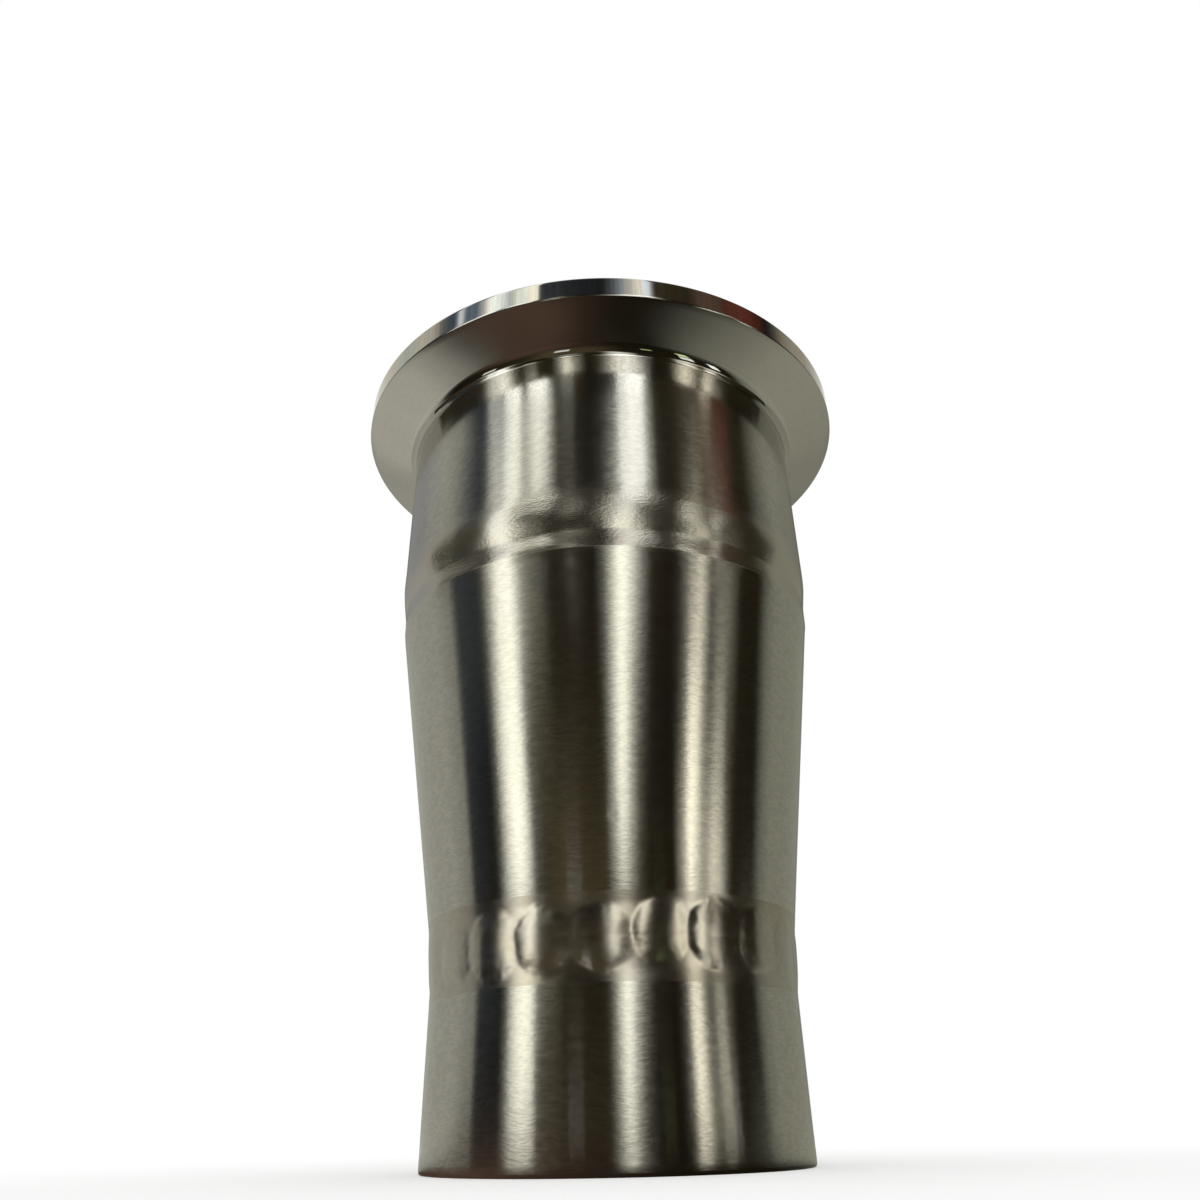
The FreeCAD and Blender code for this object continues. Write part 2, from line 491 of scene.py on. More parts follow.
@dataclass
class Outline:
    """A closed section in radius and height that turns once about the axis.

    Attributes:
        points: corners of the section, in order.
        stretches: the finish of the side that ends at each corner.
    """

    points: list[Pair] = field(default_factory=list)
    stretches: list[Stretch] = field(default_factory=list)

    def add(self, corner: Pair, stretch: Stretch) -> None:
        """Put down one corner."""
        self.points.append((corner[0], corner[1]))
        self.stretches.append(stretch)

    def line(self, end: Pair, stretch: Stretch, step: float = 4.0) -> None:
        """Draw a straight side.

        Args:
            end: where it ends.
            stretch: its finish.
            step: about how long its pieces are.
        """
        start = self.points[-1]
        count = max(1, round(math.dist(start, end) / step))
        for i in range(1, count + 1):
            t = i / count
            self.add((start[0] + (end[0] - start[0]) * t, start[1] + (end[1] - start[1]) * t), stretch)

    def arc(self, centre: Pair, end: Pair, stretch: Stretch, count: int) -> None:
        """Draw a round side, the short way about its centre.

        Args:
            centre: its centre.
            end: where it ends.
            stretch: its finish.
            count: number of its pieces.
        """
        start = self.points[-1]
        radius = math.dist(start, centre)
        first = math.atan2(start[1] - centre[1], start[0] - centre[0])
        last = math.atan2(end[1] - centre[1], end[0] - centre[0])
        turn = (last - first + math.pi) % FULL_TURN - math.pi
        for i in range(1, count + 1):
            angle = first + turn * i / count
            spot = (centre[0] + radius * math.cos(angle), centre[1] + radius * math.sin(angle))
            self.add(spot, stretch)

    def corner(self, corner: Pair, after: Pair, radius: float, stretch: Stretch, step: float = 4.0) -> None:
        """A straight side to a corner that is rounded over, up to where the next side begins.

        Args:
            corner: the corner before it is rounded.
            after: a point that the next side runs to.
            radius: radius of the round.
            stretch: finish of the side before the corner.
            step: length of its pieces.
        """
        start = Vector(self.points[-1])
        middle = Vector(corner)
        into = (start - middle).normalized()
        away = (Vector(after) - middle).normalized()
        half = into.angle(away) / 2
        reach = radius / math.tan(half)
        self.line(tuple(middle + into * reach), stretch, step)
        centre = middle + (into + away).normalized() * (radius / math.sin(half))
        self.arc(tuple(centre), tuple(middle + away * reach), Stretch.POLISHED, 5)

    def used(self) -> list[Stretch]:
        """The stretches that occur, in the order of their names in the Enum."""
        return [stretch for stretch in Stretch if stretch in self.stretches]

    def turn(self, name: str, columns: int, work: HandWork) -> bpy.types.Mesh:
        """Turn the outline once about the axis.

        Args:
            name: name of the mesh.
            columns: steps around.
            work: the unevenness of the outside.

        Returns:
            A closed mesh in metres with outward faces, in material places of the used stretches.
        """
        places = self.used()
        shape = bmesh.new()
        grid = []
        for j in range(columns):
            angle = FULL_TURN * j / columns
            column = []
            for radius, height in self.points:
                radius = work.move(radius, height, angle)
                spot = (radius * math.cos(angle) * MM, radius * math.sin(angle) * MM, height * MM)
                column.append(shape.verts.new(spot))
            grid.append(column)
        for here, there in zip(grid, grid[1:] + grid[:1]):
            for i, stretch in enumerate(self.stretches):
                face = shape.faces.new((here[i - 1], here[i], there[i], there[i - 1]))
                face.material_index = places.index(stretch)
                face.smooth = True
        bmesh.ops.recalc_face_normals(shape, faces=shape.faces)
        mesh = bpy.data.meshes.new(name)
        shape.to_mesh(mesh)
        shape.free()
        mesh.set_sharp_from_angle(angle=math.radians(TURNED_SHARP))
        return mesh


class Finishes:
    """The materials of the fitting, one for each stretch of an outline."""

    polished = Steel((0.62, 0.61, 0.58), 0.05, 0.02, 0.4, Grain.AROUND, 0.3, 14.0, 9.0)
    turned = Steel((0.62, 0.605, 0.57), 0.15, 0.02, 0.5, Grain.AROUND, 0.4, 6.0, 1.0, 0.04)
    rim = Steel((0.62, 0.61, 0.58), 0.07, 0.02, 0.85, Grain.UPRIGHT, 0.7, 2.5, 8.0)
    neck = Steel((0.61, 0.6, 0.56), 0.1, 0.03, 0.6, Grain.AROUND, 6.0, 6.0, 0.25, 0.2)
    brushed = Steel((0.61, 0.6, 0.56), 0.15, 0.03, 0.93, Grain.AROUND, 9.0, 5.0, 0.8, 0.14)
    ground = Steel((0.61, 0.595, 0.55), 0.16, 0.08, 0.3, Grain.CROSSED, 12.0, 5.5, 0.6, 0.16)
    laid = Steel((0.6, 0.58, 0.54), 0.2, 0.05, 0.5, Grain.AROUND, 3.0, 4.0, 0.8, 0.08)
    bore = Steel((0.55, 0.53, 0.5), 0.36, 0.08, 0.5, Grain.AROUND, 1.2, 6.0, 2.0)
    straw: Colour = (0.5, 0.41, 0.29)
    # Painted sheen: the rim's diffraction colours, put into its metal colour.
    warm_painted_sheen: Colour = (0.67, 0.61, 0.54)
    cool_painted_sheen: Colour = (0.57, 0.61, 0.62)

    def __init__(self, run: Run) -> None:
        """Make the materials, with the seams where run says they lie."""
        self.materials = {
            Stretch.POLISHED: self._plain("polished_steel", self.polished),
            Stretch.TURNED: self._plain("turned_steel", self.turned),
            Stretch.RIM: self._rim("mirror_turned_steel"),
            Stretch.TUBE: self._tube("brushed_and_ground_steel", run),
            Stretch.BORE: self._plain("dull_steel", self.bore),
        }

    @staticmethod
    def _plain(name: str, steel: Steel) -> bpy.types.Material:
        """A material with one finish all over."""
        material, tree, place = new_material(name)
        tree.show(steel.shader(tree, place))
        return material

    def _rim(self, name: str) -> bpy.types.Material:
        """The rim's finely turned edge, whose upright streaks break light into faint colours, here painted
        into the metal's colour as warm and cool bands: a painted sheen.

        Args:
            name: name of the material.

        Returns:
            The material.
        """
        material, tree, place = new_material(name)
        x, y, z = tree.split(place)
        # Warm and cool bands of painted sheen, for the colours that the turning marks break light into.
        bands = tree.noise(tree.vector(x / MM, y / MM, z * (0.05 / MM)), scale=0.9, roughness=0.6)
        tint = tree.blend(bands.step(0.35, 0.65), self.warm_painted_sheen, self.cool_painted_sheen)
        tree.show(self.rim.shader(tree, place, tint))
        return material

    def _tube(self, name: str, run: Run) -> bpy.types.Material:
        """Brushed steel, hand-ground over the upper seam and as laid where the puddles are.

        Args:
            name: name of the material.
            run: the sizes that say where the seams lie.

        Returns:
            The material.
        """
        material, tree, place = new_material(name)
        z = tree.split(place)[2] / MM
        ragged = tree.noise(place, scale=230.0, detail=3.0, roughness=0.6) - 0.5
        low, high = run.upper_low, run.upper_high
        over = (z + ragged * 0.8).step(low - 0.4, low + 0.2)
        over = over * (1.0 - (z + ragged * 4.0).step(high - 0.2, high + 1.6))
        puddled = tree.value("ShaderNodeAttribute", {"attribute_name": LAID}, None, "Fac")
        heat = tree.noise(place, scale=150.0).step(0.3, 0.85) * 0.6
        tint = tree.blend(heat, self.laid.colour, self.straw)
        stain = tree.blend(heat * 0.4, self.ground.colour, self.straw)
        worn = (1.0 - z.step(low - 6.0, high)) * 0.25
        polish = (z + ragged * 2.0).step(run.top - 14.0, run.top - 8.5)
        brushed = self.brushed.shader(tree, place, None, worn)
        brushed = tree.mix(polish, brushed, self.neck.shader(tree, place))
        worked = tree.mix(over, brushed, self.ground.shader(tree, place, stain))
        tree.show(tree.mix(puddled, worked, self.laid.shader(tree, place, tint)))
        return material


def put_piece(name: str, mesh: bpy.types.Mesh, node: str) -> None:
    """Put a finished mesh in the scene for one node of the frame.

    Args:
        name: name of the piece.
        mesh: its mesh, in the frame's axes, with its materials.
        node: the node that it stands for.
    """
    piece = bpy.data.objects.new(name, mesh)
    bpy.context.scene.collection.objects.link(piece)
    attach(piece, BODY)
    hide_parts(node)
    log.info("%s stands for %s: %d faces", name, node, len(mesh.polygons))


@dataclass
class TurnedPiece:
    """A piece that is turned from one outline.

    Attributes:
        name: name of the piece.
        node: the node that it stands for.
        slot: the record's material slot.
        run: the sizes of the tubes and seams.
        columns: steps around.
    """

    name: ClassVar[str]
    node: ClassVar[str]
    slot: ClassVar[str]

    run: Run
    columns: int = 384

    def outline(self) -> Outline:
        """The piece's section."""
        raise NotImplementedError

    def build(self, work: HandWork, finishes: Finishes) -> None:
        """Turn the piece, dress it and put it in the scene.

        Args:
            work: the unevenness of the outside.
            finishes: the materials.
        """
        outline = self.outline()
        mesh = outline.turn(self.name, self.columns, work)
        for stretch in outline.used():
            mesh.materials.append(finishes.materials[stretch])
        put_piece(self.name, mesh, self.node)


@dataclass
class ClampFerrule(TurnedPiece):
    """The turned ferrule: grooved face, rim, sloping back, neck and tube."""

    name = "ferrule"
    node = "clamp_ferrule"
    slot = "satin_steel"

    flange_radius: float = 31.95
    rim_thickness: float = 2.85
    back_angle: float = 20.0
    edge_radius: float = 0.13
    bore_edge_radius: float = 0.25
    groove_mean_radius: float = 28.15
    groove_arc_radius: float = 2.34
    groove_depth: float = 1.6
    neck_radius: float = 1.8
    neck_run_out: float = 18.0

    def outline(self) -> Outline:
        """The ferrule's section, from the weld's root up the bore and down the outside."""
        run = self.run
        slope = math.radians(self.back_angle)
        bore = run.large_radius - run.wall
        rise = self.groove_arc_radius - self.groove_depth
        half = math.sqrt(self.groove_arc_radius**2 - rise**2)
        groove = (self.groove_mean_radius, run.top + rise)
        inner_lip = (groove[0] - half, run.top)
        outer_lip = (groove[0] + half, run.top)
        rim_low = (self.flange_radius, run.top - self.rim_thickness)
        run_out = math.radians(self.neck_run_out)
        centre_r = run.large_radius + self.neck_radius * math.cos(run_out)
        back_z = rim_low[1] - (self.flange_radius - centre_r) * math.tan(slope)
        centre = (centre_r, back_z - self.neck_radius / math.cos(slope))
        on_back = (
            centre[0] - self.neck_radius * math.sin(slope),
            centre[1] + self.neck_radius * math.cos(slope),
        )
        path = Outline()
        path.add((bore, run.upper_seam + run.upper_root_half), Stretch.BORE)
        path.corner((bore, run.top), inner_lip, self.bore_edge_radius, Stretch.BORE)
        path.line(inner_lip, Stretch.TURNED)
        path.arc(groove, outer_lip, Stretch.TURNED, 24)
        path.corner((self.flange_radius, run.top), rim_low, self.edge_radius, Stretch.TURNED)
        path.corner(rim_low, on_back, self.edge_radius, Stretch.RIM, 0.2)
        path.line(on_back, Stretch.TURNED, 0.7)
        foot = centre[1] + self.neck_radius * math.sin(run_out)
        path.arc(centre, (run.large_radius, foot), Stretch.POLISHED, 18)
        path.line((run.large_radius, foot - 0.03), Stretch.TUBE)
        path.line((run.large_radius, run.upper_seam + run.upper_half + 4.0), Stretch.TUBE, 0.5)
        path.line((run.large_radius, run.upper_seam + run.upper_half), Stretch.TUBE, 0.2)
        return path


@dataclass
class GroundWeld(TurnedPiece):
    """The upper weld, ground by hand: a rounded shoulder, a level lip and a crease below it."""

    name = "ground_seam"
    node = "upper_weld"
    slot = "ground_weld"

    lip_height: float = 2.1
    shoulder_bulge: float = 0.09
    crease_depth: float = 0.008
    crease_width: float = 0.25
    blend: float = 0.35
    rows: int = 44

    def outer_radius(self, height: float) -> float:
        """Radius of the weld's outside.

        Args:
            height: a height from the cone's edge to the ferrule's.

        Returns:
            The radius there in millimetres.
        """
        low, high = self.run.upper_low, self.run.upper_high
        lip = self.run.cone_radius(low)
        rise = (height - low - self.lip_height) / (high - low - self.lip_height)
        soft = math.log1p(math.exp(rise / self.blend * 4.0)) * self.blend / 4.0
        shoulder = (self.run.large_radius - lip) * min(soft, 1.0)
        bulge = 4.0 * self.shoulder_bulge * rise * (1.0 - rise) if 0.0 < rise < 1.0 else 0.0
        crease = self.crease_depth * math.exp(-(((height - low) / self.crease_width) ** 2))
        return lip + shoulder + bulge - crease

    def outline(self) -> Outline:
        """The weld's section."""
        run = self.run
        root_high = run.upper_seam + run.upper_root_half
        root_low = run.upper_seam - run.upper_root_half
        path = Outline()
        path.add((run.large_radius - run.wall, root_high), Stretch.BORE)
        path.line((run.large_radius, run.upper_high), Stretch.BORE)
        for i in range(1, self.rows + 1):
            height = run.upper_high + (run.upper_low - run.upper_high) * i / self.rows
            path.add((self.outer_radius(height), height), Stretch.TUBE)
        path.line((run.cone_radius(root_low) - run.cone_wall, root_low), Stretch.BORE)
        return path


@dataclass
class ReducerCone(TurnedPiece):
    """The rolled cone from the large tube down to the small one."""

    name = "cone"
    node = "reducer_cone"
    slot = "brushed_steel"

    fine_band: float = 3.0

    def outline(self) -> Outline:
        """The cone's section, in finer steps next to the ground weld."""
        run = self.run
        fine = run.upper_low - self.fine_band
        low = run.lower_seam + run.lower_half
        root_top = run.upper_seam - run.upper_root_half
        root_low = run.lower_seam + run.lower_root_half
        path = Outline()
        path.add((run.cone_radius(root_top) - run.cone_wall, root_top), Stretch.BORE)
        path.line((run.cone_radius(run.upper_low), run.upper_low), Stretch.BORE)
        path.line((run.cone_radius(fine), fine), Stretch.TUBE, 0.2)
        path.line((run.cone_radius(low), low), Stretch.TUBE, 0.4)
        path.line((run.cone_radius(root_low) - run.cone_wall, root_low), Stretch.BORE)
        return path


@dataclass
class TubeEnd(TurnedPiece):
    """The plain tube below the lower weld."""

    name = "tube"
    node = "tube_end"
    slot = "brushed_steel"

    edge_radius: float = 0.3

    def outline(self) -> Outline:
        """The tube's section."""
        run = self.run
        bore = run.small_radius - run.wall
        toe = (run.small_radius, run.lower_seam - run.lower_half)
        path = Outline()
        path.add((bore, run.lower_seam - run.lower_root_half), Stretch.BORE)
        path.line(toe, Stretch.BORE)
        path.corner((run.small_radius, 0.0), (bore, 0.0), self.edge_radius, Stretch.TUBE, 0.6)
        path.corner((bore, 0.0), path.points[0], self.edge_radius, Stretch.TURNED)
        return path


@dataclass
class PuddleWeld:
    """The lower weld, left as laid: puddles that lap over one another like scales.

    A geometry tree makes it: a grid is rolled into a closed ring, and each place on the ring
    rises to the highest of the three puddles nearest to it.

    Attributes:
        run: the sizes of the tubes and seams.
        count: number of puddles.
        start: degrees to the first one.
        radius: their radius.
        dome: their height.
        lean: degrees that they lean, because the side that was laid last is higher.
        size_wander: how far they differ in size.
        drift: how far they lie from the seam.
        lap: how softly they meet.
        cover: heights over the tube between which the laid finish sets in.
        columns_each: steps around for each puddle.
        rows: steps across the seam.
    """

    run: Run
    count: int = 22
    start: float = 5.3
    radius: float = 3.0
    dome: float = 0.18
    lean: float = 1.1
    size_wander: float = 0.04
    drift: float = 0.35
    lap: float = 0.1
    cover: Pair = (0.03, 0.16)
    columns_each: int = 26
    rows: int = 56

    def _inputs(self) -> dict[str, float | int]:
        """The named inputs of the geometry tree and their values."""
        return {
            "Seam Height": self.run.lower_seam,
            "Half Width": self.run.lower_half,
            "Root Half Width": self.run.lower_root_half,
            "Tube Radius": self.run.small_radius,
            "Taper": self.run.taper,
            "Wall": self.run.wall,
            "Puddle Radius": self.radius,
            "Puddle Dome": self.dome,
            "Lean": math.tan(math.radians(self.lean)),
            "Size Wander": self.size_wander,
            "Drift": self.drift,
            "Start Angle": math.radians(self.start),
            "Puddles": self.count,
        }

    def _tree(self, material: bpy.types.Material) -> bpy.types.NodeTree:
        """The geometry tree that makes the weld.

        Args:
            material: what the weld is made of.

        Returns:
            The tree.
        """
        nodes = bpy.data.node_groups.new("laid_puddles", "GeometryNodeTree")
        for name, value in self._inputs().items():
            kind = "NodeSocketInt" if isinstance(value, int) else "NodeSocketFloat"
            nodes.interface.new_socket(name=name, in_out="INPUT", socket_type=kind)
        nodes.interface.new_socket(name="Weld", in_out="OUTPUT", socket_type="NodeSocketGeometry")
        tree = Tree(nodes)
        given = tree.node("NodeGroupInput")
        size = {name: Value(tree, given.outputs[name]) for name in self._inputs()}
        u, v, _ = tree.split(tree.value("GeometryNodeInputPosition"))
        angle = (u + 0.5) * FULL_TURN
        row = (v + 0.5) * (self.rows + 3.0)
        seam = size["Seam Height"]
        z_out = seam + size["Half Width"] * ((row / float(self.rows)).apply("MINIMUM", 1.0) * 2.0 - 1.0)
        height = self._height(tree, size, angle, z_out - seam)
        r_out = size["Tube Radius"] + size["Taper"] * (z_out - seam).apply("MAXIMUM", 0.0) + height
        # The last three rows close the section: up the root, across the bore and back down.
        closing = [(row - (self.rows + float(i))).between(0.0, 1.0) for i in range(3)]
        root = size["Root Half Width"]
        r_low = size["Tube Radius"] - size["Wall"]
        r = self._along(closing, (r_out, r_low + size["Taper"] * root, r_low, size["Tube Radius"]))
        z = self._along(closing, (z_out, seam + root, seam - root, seam - size["Half Width"]))
        spot = tree.vector(angle.apply("COSINE") * r * MM, angle.apply("SINE") * r * MM, z * MM)
        laid = {"Name": LAID, "Value": height.step(*self.cover) * (1.0 - closing[0])}
        columns = self.count * self.columns_each + 1
        grid = {"Size X": 1.0, "Size Y": 1.0, "Vertices X": columns, "Vertices Y": self.rows + 4}
        shape = tree.value("GeometryNodeMeshGrid", None, grid, "Mesh")
        for kind, settings, values in (
            ("GeometryNodeSetPosition", None, {"Position": spot}),
            ("GeometryNodeStoreNamedAttribute", {"data_type": "FLOAT", "domain": "POINT"}, laid),
            ("GeometryNodeMergeByDistance", None, {"Distance": 1e-6}),
            ("GeometryNodeSetShadeSmooth", None, {}),
            ("GeometryNodeRealizeInstances", None, {}),
            ("GeometryNodeSetMaterial", None, {"Material": material}),
        ):
            shape = tree.value(kind, settings, {"Geometry": shape, **values})
        tree.node("NodeGroupOutput", None, {0: shape})
        return nodes

    @staticmethod
    def _along(closing: Sequence[Value], stations: Sequence[Value]) -> Value:
        """A value that goes from one station to the next as each closing row is passed.

        Args:
            closing: for each closing row, 0 before it and 1 after it.
            stations: the values to pass, one more than the rows.

        Returns:
            The value.
        """
        total = stations[0]
        for step, station in zip(closing, stations[1:]):
            total = total + (station - total) * step
        return total

    def _height(self, tree: Tree, size: dict[str, Value], angle: Value, above: Value) -> Value:
        """How far the puddles stand over the tube and cone.

        Args:
            tree: the geometry tree.
            size: its named inputs.
            angle: angle about the axis in radians.
            above: height above the seam in millimetres.

        Returns:
            The height of the highest of the three nearest puddles, in millimetres.
        """
        pitch = FULL_TURN / size["Puddles"]
        angle = angle - size["Start Angle"]
        nearest = (angle / pitch).apply("ROUND")
        spot = tree.vector(angle.apply("COSINE") * 9.0, angle.apply("SINE") * 9.0, above * 0.5)
        uneven = tree.noise(spot, scale=1.3) - 0.5
        top = None
        for shift in (-1.0, 0.0, 1.0):
            middle = (nearest + shift) * pitch
            wander = (middle * 5.0).apply("SINE") + (middle * 11.0 + 1.0).apply("SINE") * 0.6
            drift = (middle * 3.0 - 1.1).apply("SINE") + (middle * 8.0).apply("SINE") * 0.7
            reach = size["Puddle Radius"] * (wander * size["Size Wander"] + 1.0)
            along = (angle - middle) * size["Tube Radius"]
            across = above - size["Drift"] * drift
            distance = (along * along + across * across).apply("SQRT") / reach * (uneven * 0.3 + 1.0)
            inside = 1.0 - distance * distance
            rise = (size["Puddle Dome"] - along * size["Lean"]) * inside
            top = top.apply("SMOOTH_MAX", rise, self.lap) if top else rise
        # The weld fills the corner between tube and cone all round, under the puddles.
        filled = (size["Puddle Radius"] * 0.9 - abs(above)).apply("SMOOTH_MAX", 0.0, 0.6)
        return top.apply("SMOOTH_MAX", 0.0, 0.04) + filled * size["Taper"] * 0.35

    def _mesh(self, material: bpy.types.Material) -> bpy.types.Mesh:
        """Run the geometry tree and keep its result as a plain mesh.

        Args:
            material: what the weld is made of.

        Returns:
            The mesh, closed and with its faces outwards.
        """
        group = self._tree(material)
        carrier = bpy.data.objects.new("laid_seam_tree", bpy.data.meshes.new("laid_seam_tree"))
        bpy.context.scene.collection.objects.link(carrier)
        modifier = carrier.modifiers.new("puddles", "NODES")
        modifier.node_group = group
        values = self._inputs()
        for socket in group.interface.items_tree:
            if socket.in_out == "INPUT":
                modifier[socket.identifier] = values[socket.name]
        depsgraph = bpy.context.evaluated_depsgraph_get()
        mesh = bpy.data.meshes.new_from_object(carrier.evaluated_get(depsgraph), depsgraph=depsgraph)
        carrier.modifiers.remove(modifier)
        bpy.data.objects.remove(carrier)
        shape = bmesh.new()
        shape.from_mesh(mesh)
        bmesh.ops.recalc_face_normals(shape, faces=shape.faces)
        # A fresh mesh, because the radial tangents read the box that a mesh is made with.
        plain = bpy.data.meshes.new("laid_seam")
        shape.to_mesh(plain)
        shape.free()
        bpy.data.meshes.remove(mesh)
        plain.materials.append(material)
        plain.set_sharp_from_angle(angle=math.radians(LAID_SHARP))
        return plain

    def build(self, finishes: Finishes) -> None:
        """Build the weld and put it in the scene."""
        mesh = self._mesh(finishes.materials[Stretch.TUBE])
        put_piece("laid_seam", mesh, "lower_weld")


PLAIN: Colour = (1.0, 1.0, 1.0)
WHITE: Colour = (1.0, 1.0, 0.96)
CREAM: Colour = (1.0, 0.99, 0.86)
OLIVE: Colour = (1.0, 1.0, 0.8)
COOL: Colour = (0.9, 1.0, 1.12)
STEEL: Colour = (0.75, 1.0, 1.25)
STRAW: Colour = (1.05, 0.95, 0.76)
HONEY: Colour = (1.0, 0.95, 0.78)
UMBER: Colour = (1.0, 0.8, 0.42)
RUST: Colour = (1.4, 0.85, 0.6)
EMBER: Colour = (1.8, 0.5, 0.3)
GREEN: Colour = (0.95, 1.15, 0.55)


@dataclass(frozen=True)
class Card:
    """A small bright card on the floor, which only reflections show, most of all on the polished neck and
    edges.

    Attributes:
        turn: degrees to the right of the camera's side.
        half_turn: half its width, in degrees about the axis.
        near: distance of its near side from the axis in metres.
        far: distance of its far side.
        level: brightness.
        tint: its colour at level 1.
    """

    turn: float
    half_turn: float
    near: float
    far: float
    level: float
    tint: Colour = WHITE

    def corners(self) -> list[tuple[float, float, float]]:
        """The card's four corners, just above the floor."""
        low, high = (math.radians(self.turn + side * self.half_turn) for side in (-1, 1))
        spots = ((self.near, low), (self.far, low), (self.far, high), (self.near, high))
        return [(math.sin(angle) * reach, -math.cos(angle) * reach, CARD_LIFT) for reach, angle in spots]


